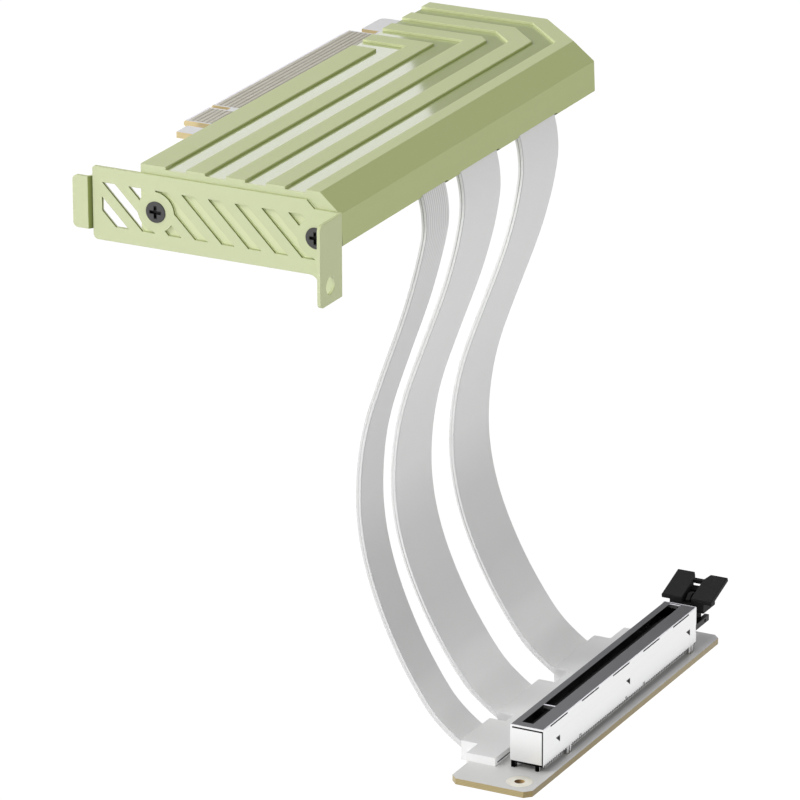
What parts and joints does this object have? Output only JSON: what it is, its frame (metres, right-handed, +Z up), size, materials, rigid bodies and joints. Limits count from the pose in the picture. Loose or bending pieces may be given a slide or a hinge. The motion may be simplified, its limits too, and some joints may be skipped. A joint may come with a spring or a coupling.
{
  "type": "pcie extension cable",
  "caption": "Flexible riser cable: covered edge plug with slot bracket, flat ribbons and a shielded card socket with a retention latch on its own board.",
  "frame": {"origin": "centre of the screw hole in the bracket's tab, on the tab's seating face", "axes": "+X from the bracket's tongue to its tab, along the screw; +Y from the bracket into the case; +Z up, away from the covered side of the board"},
  "size_m": [0.111, 0.1633, 0.1574],
  "materials": {
    "green_bracket": "satin powder coat",
    "green_cover": "satin moulded plastic",
    "black_screws": "black oxide",
    "white_board": "white solder resist on glass epoxy",
    "gold": "gold plating",
    "white_overmould": "smooth moulded",
    "ribbon_jacket": "flat ribbed jacket",
    "black_plastic": "moulded",
    "shield_steel": "bright tinned",
    "latch_plastic": "moulded"
  },
  "bodies": {
    "cable": {"slot_bracket": "green_bracket", "bracket_screws": "black_screws", "top_cover": "green_cover", "bottom_cover": "green_cover", "cover_screws": "black_screws", "plug_board": "white_board", "plug_fingers_top": "gold", "plug_fingers_bottom": "gold", "plug_overmould": "white_overmould", "socket_overmould": "white_overmould", "ribbon_1_upper": "ribbon_jacket", "ribbon_1_lower": "ribbon_jacket", "ribbon_2_upper": "ribbon_jacket", "ribbon_2_lower": "ribbon_jacket", "ribbon_3_upper": "ribbon_jacket", "ribbon_3_lower": "ribbon_jacket", "socket_board": "white_board", "hole_rings": "gold", "socket_housing": "black_plastic", "contacts_left": "gold", "contacts_right": "gold", "socket_shield": "shield_steel"},
    "latch": {"latch": "latch_plastic"}
  },
  "joints": [
    {"name": "latch_hinge", "type": "hinge", "parent": "cable", "child": "latch", "pos_m": [0.0323, 0.1375, -0.1286], "axis": [-1, 0, 0], "range_deg": [0, 28]}
  ]
}
